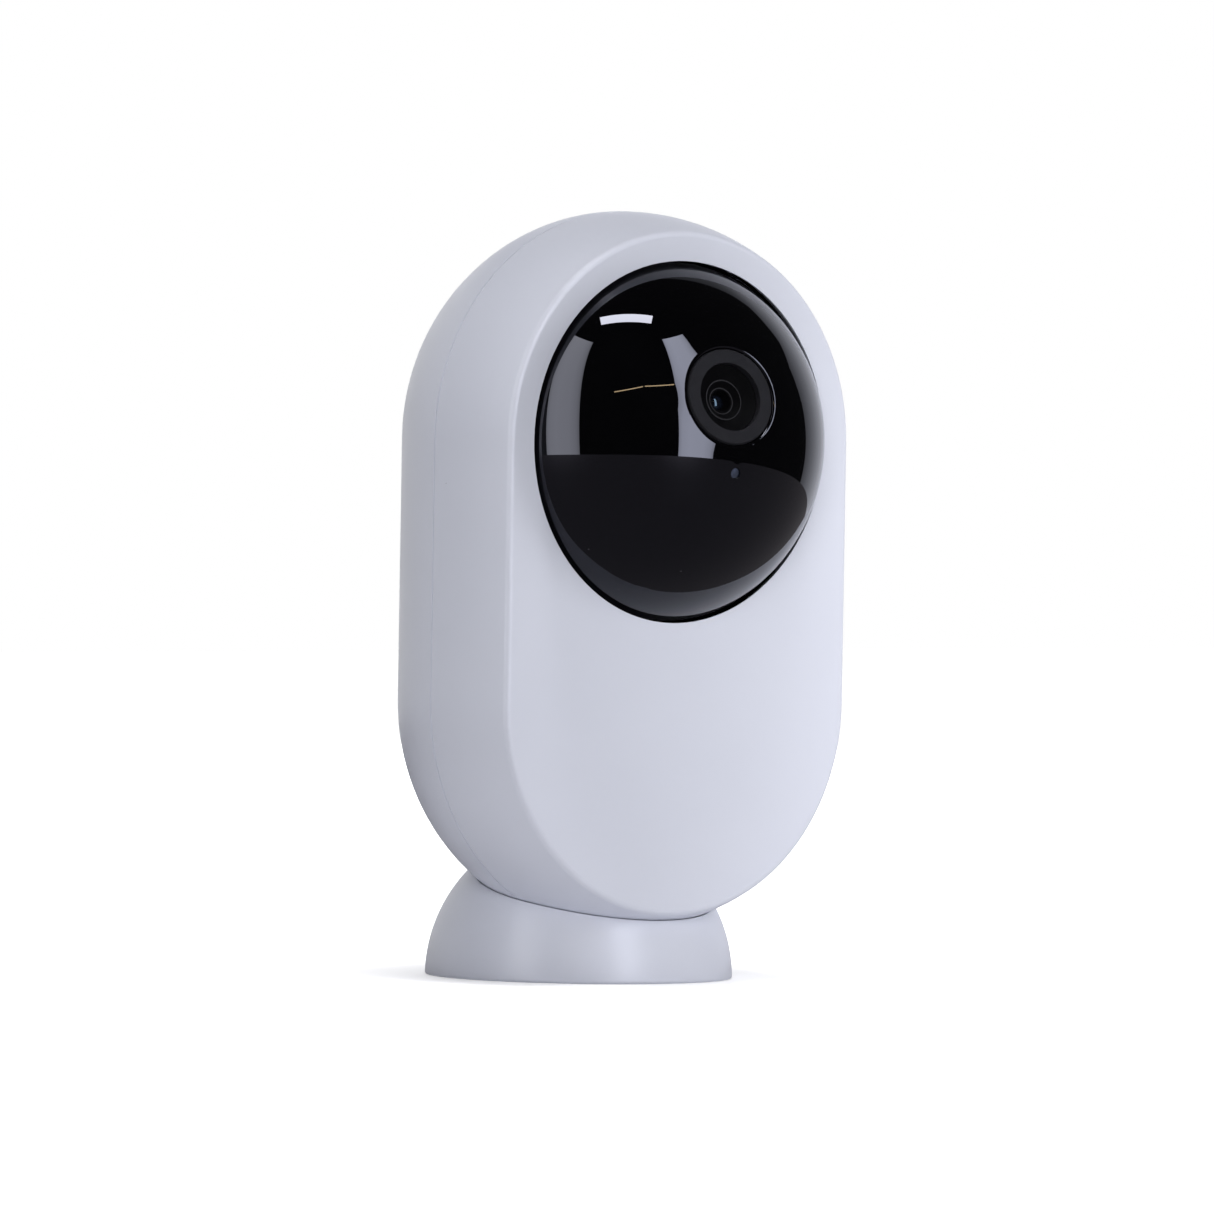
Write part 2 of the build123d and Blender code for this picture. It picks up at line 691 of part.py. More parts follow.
sector_plane = Plane((0, ball_y, sector_bottom), x_dir=(0, 1, 0), z_dir=(0, 0, 1))
sector_reach = gear_module * pan_teeth
sector_corner = (sector_reach * cos(radians(sector_half_angle)), sector_reach * sin(radians(sector_half_angle)))
with BuildPart() as pan_sector:
    add(spur(sector_plane, pan_teeth, sector_thick, journal_radius + run_fit, True))
    with BuildSketch(sector_plane):
        with BuildLine():
            Polyline((0, 0), sector_corner, (sector_reach, 0), (sector_corner[0], -sector_corner[1]), close=True)
        make_face()
        Circle(hub_radius - pinion_clear)
    extrude(amount=sector_thick, mode=Mode.INTERSECT)
put("pan_sector", pan_sector.part)

retainer_top = deck_bottom - thrust_gap
retainer_bottom = retainer_top - retainer_thick
with BuildPart() as pan_retainer:
    add(bar_z(0, ball_y, retainer_bottom, retainer_top, journal_radius + retainer_wide))
    add(bar_z(0, ball_y, retainer_top, deck_bottom, journal_radius - well_gap))
    add(bar_z(0, ball_y, retainer_bottom, deck_bottom, screw_radius + slip), mode=Mode.SUBTRACT)
put("pan_retainer", pan_retainer.part)

with BuildPart() as pan_screw:
    add(bar_z(0, ball_y, retainer_bottom - head_thick, retainer_bottom, head_radius))
    add(bar_z(0, ball_y, retainer_bottom, deck_top + sector_thick / 2, screw_radius))
put("pan_screw", pan_screw.part)

with BuildPart() as tilt_motor:
    add(bar_x(tilt_motor_y, tilt_motor_z, motor_wall_x - motor_long, motor_wall_x, motor_radius))
    shaft_hole = bar_x(tilt_shaft_y, tilt_shaft_z, motor_wall_x - shaft_sunk - bite, motor_wall_x, shaft_radius + run_fit)
    add(shaft_hole, mode=Mode.SUBTRACT)
put("tilt_motor", panned(tilt_motor.part))

# Tilt drive
cheek_out = cheek_in + cheek_thick
gear_end = cheek_out + tilt_gear_thick
pinion_start = cheek_out + tilt_gear_gap
to_gear = Vector(0, ball_y - tilt_shaft_y, ball_z - tilt_shaft_z).normalized()
tilt_pinion_plane = Plane((pinion_start, tilt_shaft_y, tilt_shaft_z), x_dir=to_gear, z_dir=(1, 0, 0))
tilt_gear_plane = Plane((cheek_out, ball_y, ball_z), x_dir=-to_gear, z_dir=(1, 0, 0))
put("tilt_shaft", panned(bar_x(tilt_shaft_y, tilt_shaft_z, motor_wall_x - shaft_sunk, gear_end, shaft_radius)))
put("tilt_pinion", panned(spur(tilt_pinion_plane, pinion_teeth, gear_end - pinion_start, pinion_bore, False)))
put("tilt_gear", panned(spur(tilt_gear_plane, tilt_teeth, tilt_gear_thick, pin_radius + press_gap, True)))

with BuildPart() as tilt_spacer:
    add(bar_x(ball_y, ball_z, -arm_in + bite, -cheek_out, pin_radius + cheek_thick))
    add(bar_x(ball_y, ball_z, -arm_in, -cheek_out, pin_radius + press_gap), mode=Mode.SUBTRACT)
put("tilt_spacer", aimed(tilt_spacer.part))

with BuildPart() as tilt_pins:
    for side in (-1, 1):
        pin_ends = sorted((side * cheek_in, side * (arm_out + pin_head)))
        add(bar_x(ball_y, ball_z, *pin_ends, pin_radius))
put("tilt_pins", aimed(tilt_pins.part))

# Carrier inside the ball
carrier_y0 = ball_y - carrier_front
carrier_y1 = carrier_y0 + carrier_thick
with BuildPart() as head_carrier:
    add(block(-cheek_out, cheek_out, carrier_y0, carrier_y1, ball_z - carrier_half_z, ball_z + carrier_half_z))
    for side in (-1, 1):
        cheek_ends = sorted((side * cheek_in, side * cheek_out))
        add(block(*cheek_ends, carrier_y0, ball_y, ball_z - cheek_half_z, ball_z + cheek_half_z))
        add(bar_x(ball_y, ball_z, *cheek_ends, cheek_half_z))
        for z in (ball_z - carrier_screw_z, ball_z + carrier_screw_z):
            add(bar_y(side * carrier_screw_x, z, carrier_y0, carrier_y1, screw_radius + slip), mode=Mode.SUBTRACT)
    add(bar_x(ball_y, ball_z, -cheek_out, cheek_out, pin_radius + press_gap), mode=Mode.SUBTRACT)
    holder_room = holder_half + slip
    holder_z = (ball_z - holder_room, ball_z + holder_room)
    add(block(-holder_room, holder_room, carrier_y0, carrier_y1, *holder_z), mode=Mode.SUBTRACT)
put("head_carrier", aimed(head_carrier.part))

boss_hole_front = carrier_y0 - motor_wall_x / 2
with BuildPart() as carrier_screws:
    for side in (-1, 1):
        for z in (ball_z - carrier_screw_z, ball_z + carrier_screw_z):
            add(bar_y(side * carrier_screw_x, z, carrier_y1, carrier_y1 + head_thick, head_radius))
            add(bar_y(side * carrier_screw_x, z, boss_hole_front + bite, carrier_y1, screw_radius))
put("carrier_screws", aimed(carrier_screws.part))

# Ball: shell open at the back, round-edged hole for the lens ring, sensor hole, bosses for the carrier
apex_y = ball_y - ball_radius
ring_front = apex_y + ring_below_apex
inner_radius = ball_radius - ball_wall
round_reach = ball_radius - hole_round
round_x = ring_radius + hole_round
round_y = -sqrt(round_reach**2 - round_x**2)
round_top = (round_x * ball_radius / round_reach, round_y * ball_radius / round_reach)
round_lean = hypot(round_x / round_reach - 1, round_y / round_reach)
round_middle = (round_x + hole_round * (round_x / round_reach - 1) / round_lean,
                round_y + hole_round * round_y / round_reach / round_lean)
hole_back = -sqrt(inner_radius**2 - ring_radius**2)
outer_end = (sqrt(ball_radius**2 - ball_rear**2), ball_rear)
inner_end = (sqrt(inner_radius**2 - ball_rear**2), ball_rear)
sensor_dir = Vector(0, -cos(radians(sensor_drop)), -sin(radians(sensor_drop)))
sensor_plane = Plane(ball_center + sensor_dir * (ball_radius - window_sunk - window_long), (1, 0, 0), sensor_dir)
carrier_boss = boss_radius - pinion_clear
boss_out = hypot(carrier_screw_x, carrier_screw_z) + carrier_boss
boss_front = ball_y - sqrt((ball_radius - ball_wall / 4) ** 2 - boss_out**2)
with BuildPart() as ball_shell:
    with BuildSketch(Plane((0, ball_y, ball_z))):
        with BuildLine():
            ThreePointArc(round_top, (ball_radius, 0), outer_end)
            Line(outer_end, inner_end)
            ThreePointArc(inner_end, (inner_radius, 0), (ring_radius, hole_back))
            Line((ring_radius, hole_back), (ring_radius, round_y))
            ThreePointArc((ring_radius, round_y), round_middle, round_top)
        make_face()
    revolve(axis=lens_axis)
    for side in (-1, 1):
        for z in (ball_z - carrier_screw_z, ball_z + carrier_screw_z):
            add(bar_y(side * carrier_screw_x, z, boss_front, carrier_y0, carrier_boss))
            boss_hole = bar_y(side * carrier_screw_x, z, boss_hole_front, carrier_y0, screw_radius + run_fit)
            add(boss_hole, mode=Mode.SUBTRACT)
    with BuildSketch(sensor_plane):
        Circle(sensor_radius)
    extrude(amount=body_half, mode=Mode.SUBTRACT)
put("ball_shell", aimed(ball_shell.part))

with BuildPart() as sensor_window:
    with BuildSketch(sensor_plane):
        Circle(sensor_radius - run_fit)
    extrude(amount=window_long)
put("sensor_window", aimed(sensor_window.part))

# Lens ring, barrel with a funnel, glass and image sensor, along the lens axis
ring_back = ring_front + ring_deep
barrel_radius = ring_hole - slip
face_y = ring_front + barrel_sunk
bead_y = face_y + face_drop
step_y = bead_y + funnel_drop
glass_edge = step_y + lens_drop
glass_back = glass_edge + glass_edge_thick
barrel_back = carrier_y0 + barrel_seat
with BuildPart() as lens_ring:
    with BuildSketch(Plane((0, 0, ball_z))):
        with BuildLine():
            Polyline((ring_hole, ring_front), (ring_radius - ring_edge, ring_front),
                     (ring_radius - run_fit, ring_front + ring_edge), (ring_radius - run_fit, ring_back),
                     (ring_hole, ring_back), close=True)
        make_face()
    revolve(axis=Axis((0, 0, ball_z), (0, 1, 0)))
put("lens_ring", aimed(lens_ring.part))

with BuildPart() as lens_barrel:
    with BuildSketch(Plane((0, 0, ball_z))):
        with BuildLine():
            Polyline((0, glass_back), (lens_radius, glass_back), (lens_radius, glass_edge),
                     (step_radius - step_wide, step_y), (step_radius, step_y), (funnel_radius, bead_y),
                     (funnel_radius, bead_y - bead_high), (funnel_radius + bead_wide, bead_y - bead_high),
                     (funnel_radius + bead_wide, bead_y), (barrel_radius, face_y), (barrel_radius, barrel_back),
                     (0, barrel_back), close=True)
        make_face()
    revolve(axis=Axis((0, 0, ball_z), (0, 1, 0)))
put("lens_barrel", aimed(lens_barrel.part))

glass_radius = lens_radius - run_fit
glass_apex = glass_edge - glass_rise
dome_radius = (glass_radius**2 + glass_rise**2) / (2 * glass_rise)
dome_half = asin(glass_radius / dome_radius) / 2
glass_middle = (dome_radius * sin(dome_half), glass_apex + dome_radius * (1 - cos(dome_half)))
with BuildPart() as lens_glass:
    with BuildSketch(Plane((0, 0, ball_z))):
        with BuildLine():
            Polyline((0, glass_apex), (0, glass_back), (glass_radius, glass_back), (glass_radius, glass_edge))
            ThreePointArc((glass_radius, glass_edge), glass_middle, (0, glass_apex))
        make_face()
    revolve(axis=Axis((0, 0, ball_z), (0, 1, 0)))
put("lens_glass", aimed(lens_glass.part))

with BuildPart() as lens_holder:
    holder_y0 = carrier_y0 - holder_front
    add(block(-holder_half, holder_half, holder_y0, carrier_y1, ball_z - holder_half, ball_z + holder_half))
    add(bar_y(0, ball_z, holder_y0, barrel_back, barrel_radius + press_gap), mode=Mode.SUBTRACT)
    chip_z = (ball_z - chip_room, ball_z + chip_room)
    add(block(-chip_room, chip_room, barrel_back, carrier_y1, *chip_z), mode=Mode.SUBTRACT)
put("lens_holder", aimed(lens_holder.part))

board_z = (ball_z - sensor_board_half_z, ball_z + sensor_board_half_z)
board_ends = (carrier_y1, carrier_y1 + sensor_board_thick)
put("sensor_board", aimed(block(-sensor_board_half_x, sensor_board_half_x, *board_ends, *board_z)))
chip_ends = (carrier_y1 - chip_thick, carrier_y1)
put("sensor_chip", aimed(block(-chip_half, chip_half, *chip_ends, ball_z - chip_half, ball_z + chip_half)))
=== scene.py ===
import json
from math import cos, exp, radians, sin

import bpy
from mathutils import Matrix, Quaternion, Vector

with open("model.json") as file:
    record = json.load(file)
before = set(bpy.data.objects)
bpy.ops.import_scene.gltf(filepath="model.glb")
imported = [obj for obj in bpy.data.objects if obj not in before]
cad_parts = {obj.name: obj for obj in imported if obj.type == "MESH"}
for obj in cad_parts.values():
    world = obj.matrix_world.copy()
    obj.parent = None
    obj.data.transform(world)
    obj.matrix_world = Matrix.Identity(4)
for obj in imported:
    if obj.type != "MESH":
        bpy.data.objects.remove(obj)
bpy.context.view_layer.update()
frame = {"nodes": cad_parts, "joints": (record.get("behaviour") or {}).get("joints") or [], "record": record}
nodes = frame["nodes"]
scene = bpy.context.scene

MM = 0.001
UP = Vector((0, 0, 1))
BALL_CENTRE = Vector(next(j["pos_m"] for j in frame["joints"] if j["name"] == "tilt"))

# Camera, in degrees and metres; the aim is the point at the middle of the picture
VIEW_AZIMUTH = -36.57
VIEW_ELEVATION = 1.34
VIEW_ROLL = 0.94
VIEW_DISTANCE = 1.95
VIEW_REACH = 20.0
AIM = Vector((-8.73, -17.59, 57.22)) * MM
PIXELS = 1214
PIXELS_PER_MM = 6.577
SENSOR_MM = 36.0

# Colours as linear light
WHITE_BODY = (0.67, 0.69, 0.78, 1)
WHITE_SHADE = (0.645, 0.665, 0.755, 1)
WHITE_SPECK = (0.30, 0.30, 0.33, 1)
BALL_BLACK = (0.0012, 0.0012, 0.0015, 1)
BALL_SPECK = (0.05, 0.05, 0.055, 1)
BALL_SHEEN = (0.82, 0.84, 1.0, 1)
RING_GREY = (0.012, 0.012, 0.0145, 1)
DEEP_BLACK = (0.0025, 0.0025, 0.003, 1)
# Painted highlight: a lighter colour for the light that the lens barrel's circular edges catch
BARREL_GLINT = (0.032, 0.032, 0.036, 1)
GLASS_BLUE = (0.008, 0.011, 0.02, 1)
GLASS_DEEP = (0.004, 0.005, 0.008, 1)
GLASS_SHEEN = (0.5, 0.75, 1.0, 1)
WINDOW_BLUE = (0.05, 0.062, 0.1, 1)
BOARD_GREEN = (0.02, 0.11, 0.045, 1)
STEEL = (0.45, 0.45, 0.47, 1)
BRASS = (0.55, 0.38, 0.14, 1)
RUBBER = (0.02, 0.02, 0.021, 1)
GEAR_WHITE = (0.62, 0.61, 0.56, 1)
CONE_BLACK = (0.012, 0.012, 0.012, 1)
PURE_WHITE = (1, 1, 1, 1)

# The values between which nearly all of a noise lies, and those between which a mottled colour changes
NOISE_ENDS = (0.3, 0.7)
MOTTLE_ENDS = (0.35, 0.65)
PLASTIC_GLOSS = 0.5
GLASS_IOR = 1.55

# Radii of the painted highlights on the lens barrel, thin lighter rings where its circular edges catch the
# light, and half their width
BARREL_GLINT_RADII_MM = (3.05, 2.0)
BARREL_GLINT_HALF_MM = 0.09

# Sockets of a Mix node that mixes colours, which share their names with others
MIX_BELOW, MIX_ABOVE, MIX_RESULT = 6, 7, 2


def towards(azimuth, elevation):
    """The direction to an azimuth, which is 0 straight out of the face, and an elevation."""
    a, e = radians(azimuth), radians(elevation)
    return Vector((sin(a) * cos(e), -cos(a) * cos(e), sin(e)))


def part_way(ends, share):
    first, last = ends
    return first + share * (last - first)


def shaded(colour, share):
    return tuple(share * c for c in colour[:3]) + (1,)


# Materials
class Nodes:
    """The node tree of a material or a world, with short ways to add nodes and join them."""

    def __init__(self, owner):
        owner.use_nodes = True
        self.tree = owner.node_tree

    def feed(self, socket, source):
        """Gives a socket a plain value, or links another node's output to it."""
        if isinstance(source, bpy.types.NodeSocket):
            self.tree.links.new(source, socket)
        else:
            socket.default_value = source

    def add(self, kind, inputs=None, **settings):
        """Adds a node with its settings, and feeds its inputs by name or number."""
        node = self.tree.nodes.new("ShaderNode" + kind)
        for name, value in settings.items():
            setattr(node, name, value)
        for socket, source in (inputs or {}).items():
            self.feed(node.inputs[socket], source)
        return node

    def math(self, operation, *sources):
        return self.add("Math", dict(enumerate(sources)), operation=operation).outputs["Value"]

    def vector_math(self, operation, *sources):
        return self.add("VectorMath", dict(enumerate(sources)), operation=operation).outputs

    def spread(self, value, ends, low, high, **settings):
        """A value between two ends, spread from low to high."""
        inputs = {"Value": value, "From Min": ends[0], "From Max": ends[1], "To Min": low, "To Max": high}
        return self.add("MapRange", inputs, **settings).outputs["Result"]


class Paint(Nodes):
    """A Principled material, with patterns that are placed in the piece's own space."""

    def __init__(self, name):
        self.material = bpy.data.materials.new(name)
        super().__init__(self.material)
        self.shader = self.tree.nodes["Principled BSDF"]
        self.place = self.add("TexCoord").outputs["Object"]

    def set(self, socket, source):
        self.feed(self.shader.inputs[socket], source)

    def noise(self, size_mm, detail=3.0):
        inputs = {"Vector": self.place, "Scale": 1 / (size_mm * MM), "Detail": detail}
        return self.add("TexNoise", inputs).outputs["Fac"]

    def ramp(self, value, first, second, ends=MOTTLE_ENDS):
        """A colour that runs from the first to the second as a value goes from end to end."""
        node = self.add("ValToRGB", {"Fac": value})
        for element, position, colour in zip(node.color_ramp.elements, ends, (first, second)):
            element.position = position
            element.color = colour
        return node.outputs["Color"]

    def specks(self, spacing_mm, size_mm, share):
        """Scattered round specks, in a share of the cells: 1 in a speck, 0 elsewhere."""
        cells = self.add("TexVoronoi", {"Vector": self.place, "Scale": 1 / (spacing_mm * MM)}).outputs
        chance = self.add("SeparateColor", {"Color": cells["Color"]}).outputs["Red"]
        near = self.math("LESS_THAN", cells["Distance"], size_mm / spacing_mm / 2)
        return self.math("MULTIPLY", near, self.math("LESS_THAN", chance, share))

    def over(self, mask, below, above):
        """One colour, with another over it where the mask is 1."""
        inputs = {"Factor": mask, MIX_BELOW: below, MIX_ABOVE: above}
        return self.add("Mix", inputs, data_type="RGBA").outputs[MIX_RESULT]

    def away_from_axis(self, centre, axis):
        """Distance from an axis, both in the piece's own space."""
        offset = self.vector_math("SUBTRACT", self.place, centre)["Vector"]
        across = self.vector_math("CROSS_PRODUCT", offset, axis)["Vector"]
        return self.vector_math("LENGTH", across)["Value"]

    def roughness(self, size_mm, low, high):
        self.set("Roughness", self.spread(self.noise(size_mm), NOISE_ENDS, low, high))

    def bump(self, value, height_mm, strength):
        inputs = {"Height": value, "Distance": height_mm * MM, "Strength": strength}
        self.set("Normal", self.add("Bump", inputs).outputs["Normal"])


def moulded(name, colour, shade, mottle_mm, rough, grain_mm, grain_high_mm, gloss=PLASTIC_GLOSS):
    """Mottled between a colour and a darker shade, with a fine grain and finer spots of roughness."""
    paint = Paint(name)
    paint.set("Specular IOR Level", gloss)
    paint.set("Base Color", paint.ramp(paint.noise(mottle_mm), shaded(colour, shade), colour))
    paint.roughness(mottle_mm / 4, *rough)
    paint.bump(paint.noise(grain_mm, detail=2.0), grain_high_mm, strength=0.35)
    return paint


def metal(name, colour):
    paint = Paint(name)
    paint.set("Metallic", 1.0)
    paint.set("Base Color", paint.ramp(paint.noise(size_mm=1.5), shaded(colour, share=0.85), colour))
    paint.roughness(size_mm=0.6, low=0.25, high=0.4)
    paint.bump(paint.noise(size_mm=0.12), height_mm=0.004, strength=0.4)
    return paint


def white_plastic():
    paint = Paint("white_plastic")
    paint.set("Specular IOR Level", PLASTIC_GLOSS)
    cloud = paint.ramp(paint.noise(size_mm=40.0, detail=2.0), WHITE_SHADE, WHITE_BODY, NOISE_ENDS)
    specks = paint.specks(spacing_mm=7.0, size_mm=0.2, share=0.015)
    paint.set("Base Color", paint.over(specks, cloud, WHITE_SPECK))
    paint.roughness(size_mm=6.0, low=0.34, high=0.38)
    paint.bump(paint.noise(size_mm=0.2, detail=1.0), height_mm=0.001, strength=0.15)
    return paint


def gloss_black():
    paint = Paint("gloss_black")
    paint.set("Specular Tint", BALL_SHEEN)
    cloud = paint.ramp(paint.noise(size_mm=9.0), shaded(BALL_BLACK, share=0.7), BALL_BLACK)
    specks = paint.specks(spacing_mm=3.2, size_mm=0.2, share=0.09)
    paint.set("Base Color", paint.over(specks, cloud, BALL_SPECK))
    paint.roughness(size_mm=5.0, low=0.006, high=0.02)
    paint.bump(paint.noise(size_mm=14.0, detail=1.0), height_mm=0.003, strength=0.2)
    return paint


def lens_glass():
    paint = Paint("lens_glass")
    paint.set("IOR", GLASS_IOR)
    paint.set("Specular Tint", GLASS_SHEEN)
    cloud = paint.ramp(paint.noise(size_mm=1.2), GLASS_DEEP, GLASS_BLUE, ends=(0.4, 0.6))
    paint.set("Base Color", cloud)
    paint.roughness(size_mm=0.8, low=0.01, high=0.03)
    return paint


def matt_black(name):
    return moulded(
        name, DEEP_BLACK, shade=0.7, mottle_mm=4.0, rough=(0.5, 0.62),
        grain_mm=0.12, grain_high_mm=0.01, gloss=0.03,
    )


def barrel_black():
    """Matt black with painted highlights: thin lighter rings round the lens axis, where the barrel's
    circular edges catch the light.
    """
    paint = matt_black("barrel_black")
    ring = nodes["lens_ring"]
    corners = [ring.matrix_world @ Vector(corner) for corner in ring.bound_box]
    ring_centre = sum(corners, Vector()) / len(corners)
    local = nodes["lens_barrel"].matrix_world.inverted()
    axis = local.to_3x3() @ (ring_centre - BALL_CENTRE)
    away = paint.away_from_axis(local @ BALL_CENTRE, axis.normalized())
    colour = paint.shader.inputs["Base Color"].links[0].from_socket
    # Painted highlight: each lighter ring stands for light caught by a circular edge of the barrel
    for radius in BARREL_GLINT_RADII_MM:
        near = paint.math("COMPARE", away, radius * MM, BARREL_GLINT_HALF_MM * MM)
        colour = paint.over(near, colour, BARREL_GLINT)
    paint.set("Base Color", colour)
    return paint


def ring_grey():
    return moulded(
        "ring_grey", RING_GREY, shade=0.85, mottle_mm=3.0, rough=(0.5, 0.6),
        grain_mm=0.1, grain_high_mm=0.01, gloss=0.12,
    )


def window_plastic():
    return moulded(
        "window_plastic", WINDOW_BLUE, shade=0.6, mottle_mm=0.8, rough=(0.1, 0.2),
        grain_mm=0.3, grain_high_mm=0.002,
    )


def board_green():
    return moulded(
        "board_green", BOARD_GREEN, shade=0.6, mottle_mm=1.2, rough=(0.3, 0.45),
        grain_mm=0.4, grain_high_mm=0.02,
    )


def rubber():
    return moulded(
        "rubber", RUBBER, shade=0.7, mottle_mm=3.0, rough=(0.7, 0.85), grain_mm=0.3, grain_high_mm=0.02
    )


def gear_white():
    return moulded(
        "gear_white", GEAR_WHITE, shade=0.93, mottle_mm=5.0, rough=(0.4, 0.5),
        grain_mm=0.2, grain_high_mm=0.01,
    )


def cone_black():
    return moulded(
        "cone_black", CONE_BLACK, shade=0.7, mottle_mm=2.0, rough=(0.6, 0.8),
        grain_mm=0.25, grain_high_mm=0.03,
    )


def dress():
    """Gives every node the material of its slot, and the lens barrel its painted ring highlights."""
    paints = {
        "white_plastic": white_plastic(),
        "gloss_black": gloss_black(),
        "ring_grey": ring_grey(),
        "black_plastic": matt_black("black_plastic"),
        "lens_glass": lens_glass(),
        "window_plastic": window_plastic(),
        "board_green": board_green(),
        "steel": metal("steel", STEEL),
        "brass": metal("brass", BRASS),
        "rubber": rubber(),
        "gear_white": gear_white(),
        "cone_black": cone_black(),
    }
    slots = {row["node"]: row["material_slot"] for row in frame["record"]["subparts"]}
    for name, node in nodes.items():
        node.data.materials.clear()
        node.data.materials.append(paints[slots[name]].material)
    nodes["lens_barrel"].data.materials[0] = barrel_black().material


dress()

# Stage: floor, dark room, table and studio cards, in metres and degrees
FLOOR_HALF = 1.5
FLOOR_PALE = (0.8, 0.8, 0.82, 1)
FLOOR_ROUGH = 0.8
# Distances from the middle of the foot between which the shadow fades into white
SHADOW_ENDS = (0.022, 0.07)
# The floor's own light where the shadow is full
SHADOW_LIFT = 0.37
CARD_DISTANCE = 1.0
CARD_STEPS = 12
# Across a card: the share of its width, and how bright it is there
CARD_COLUMNS = ((0.0, 0.75), (0.1, 0.98), (0.3, 1.05), (0.7, 1.0), (0.9, 0.85), (1.0, 0.6))
SHELF_WARM = (1.0, 0.72, 0.36)
SHELF_STRENGTH = 12.0
SHELF_HALF_HEIGHT = 0.3
ROOM_RADIUS = 4.0
ROOM_STEPS = 72
ROOM_RINGS = 6
ROOM_DARK = (0.9, 0.9, 1.0)
ROOM_LEVEL = 0.015
# Bearings round the line out of the face, from below through the right and the top
BEARINGS = [360 * i / ROOM_STEPS - 90 for i in range(ROOM_STEPS)]
# At a bearing: the angle from that line at which the dark ends
ROOM_EDGE = (
    (-90, 92), (0, 91), (18, 92), (26, 101), (38, 107),
    (67, 107), (96, 103), (140, 97), (180, 90), (270, 92),
)
# At a bearing: how bright the rim beyond the dark is
RIM_LEVEL = (
    (-90, 0.75), (-30, 0.75), (0, 0.6), (25, 0.5), (45, 0.24),
    (67, 0.26), (96, 0.36), (140, 0.3), (180, 0.22), (270, 0.75),
)
# Rings of the rim: the angle beyond the dark, and the share of the rim's brightness
RIM_RINGS = ((0, 0.7), (8, 1.1), (18, 1.4), (46, 1.5))
RIM_PALE = (0.92, 0.94, 1.04)
TABLE_CENTRE_X = -0.09
TABLE_HALF_X = 0.5
TABLE_HALF_Y = 0.58
TABLE_HEIGHT = 0.2 * MM
TABLE_STEPS = 48
TABLE_GREY = (1.06, 1.0, 1.08)
TABLE_LEVEL = 0.18
# Rings of the table as shares of its size, and how much of the cards' glow each shows
TABLE_RINGS = ((1.0, 1.0), (0.8, 0.75), (0.6, 0.45), (0.4, 0.15), (0.2, 0.0), (0.0, 0.0))
# The glow of each card on the table: its azimuth and how bright it is
TABLE_GLOWS = ((-79, 0.3), (2, 0.38))
TABLE_GLOW_WIDE = 13


def glow(name, colour, strength=1.0):
    """Light of one colour, times the level of each point of the sheet."""
    material = bpy.data.materials.new(name)
    material.cycles.emission_sampling = "NONE"
    build = Nodes(material)
    build.tree.nodes.clear()
    level = build.add("Attribute", attribute_name="level").outputs["Fac"]
    inputs = {"Color": (*colour, 1), "Strength": build.math("MULTIPLY", level, strength)}
    build.add("OutputMaterial", {"Surface": build.add("Emission", inputs).outputs["Emission"]})
    return material


def sheet(name, points, faces, material):
    mesh = bpy.data.meshes.new(name)
    mesh.from_pydata([tuple(p) for p in points], [], faces)
    mesh.materials.append(material)
    piece = bpy.data.objects.new(name, mesh)
    scene.collection.objects.link(piece)
    return piece


def mirrored(piece, levels):
    """Shows the sheet in reflections alone, with a level for each of its points."""
    level = piece.data.attributes.new("level", "FLOAT", "POINT")
    for row, value in zip(level.data, levels):
        row.value = value
    for rays in ("camera", "diffuse", "shadow", "transmission", "volume_scatter"):
        setattr(piece, f"visible_{rays}", False)


def grid_of_faces(rows, columns):
    """The faces between rows of points."""
    faces = []
    for i in range(rows - 1):
        for k in range(columns - 1):
            first = i * columns + k
            faces.append((first, first + 1, first + columns + 1, first + columns))
    return faces


def lit_rows(name, rows, levels, colour, strength):
    """A lit sheet round the ball, through rows of azimuths and elevations, with a level for each column."""
    points = [BALL_CENTRE + towards(*angles) * CARD_DISTANCE for row in rows for angles in row]
    piece = sheet(name, points, grid_of_faces(len(rows), len(levels)), glow(name, colour, strength))
    mirrored(piece, levels * len(rows))
    return piece


def card(name, left_edge, right_edge, elevations, colour, strength):
    """A lit upright card, with edges that curve from their lower to their upper azimuth."""
    rows = []
    for i in range(CARD_STEPS + 1):
        share = i / CARD_STEPS
        edges = [part_way(edge, share**2) for edge in (left_edge, right_edge)]
        elevation = part_way(elevations, share)
        rows.append([(part_way(edges, across), elevation) for across, _ in CARD_COLUMNS])
    return lit_rows(name, rows, [level for _, level in CARD_COLUMNS], colour, strength)


def shelf_line(name, azimuths, elevations):
    """A thin warm line from one azimuth and elevation to another."""
    rows = []
    for i in range(CARD_STEPS + 1):
        share = i / CARD_STEPS
        azimuth, middle = part_way(azimuths, share), part_way(elevations, share)
        rows.append([(azimuth, middle - SHELF_HALF_HEIGHT), (azimuth, middle + SHELF_HALF_HEIGHT)])
    lit_rows(name, rows, [1.0, 1.0], SHELF_WARM, SHELF_STRENGTH)


def keep_off(piece, node):
    """Keeps a card's gleam off one node, whose edge it would melt into the white background from behind."""
    others = bpy.data.collections.new(f"all_but_{node}")
    for name in nodes:
        if name != node:
            others.objects.link(nodes[name])
    piece.light_linking.receiver_collection = others


def ceiling_lamp(azimuth, ahead_ends, aside_ends, strength):
    """A flat lit panel overhead, in shares of its height above the ball."""
    ahead, aside = towards(azimuth, 0), towards(azimuth + 90, 0)
    offsets = [ahead * forward + aside * side for forward in ahead_ends for side in aside_ends]
    points = [BALL_CENTRE + (UP + offset) * CARD_DISTANCE for offset in offsets]
    faces = grid_of_faces(len(ahead_ends), len(aside_ends))
    piece = sheet("ceiling_lamp", points, faces, glow("ceiling_lamp", (1, 1, 1), strength))
    mirrored(piece, [1.0] * len(points))


def around(rows, bearing):
    """The value at a bearing, eased between the rows on either side of it."""
    for (low, first), (high, second) in zip(rows, rows[1:]):
        if low <= bearing <= high:
            share = (bearing - low) / (high - low)
            return part_way((first, second), share * share * (3 - 2 * share))


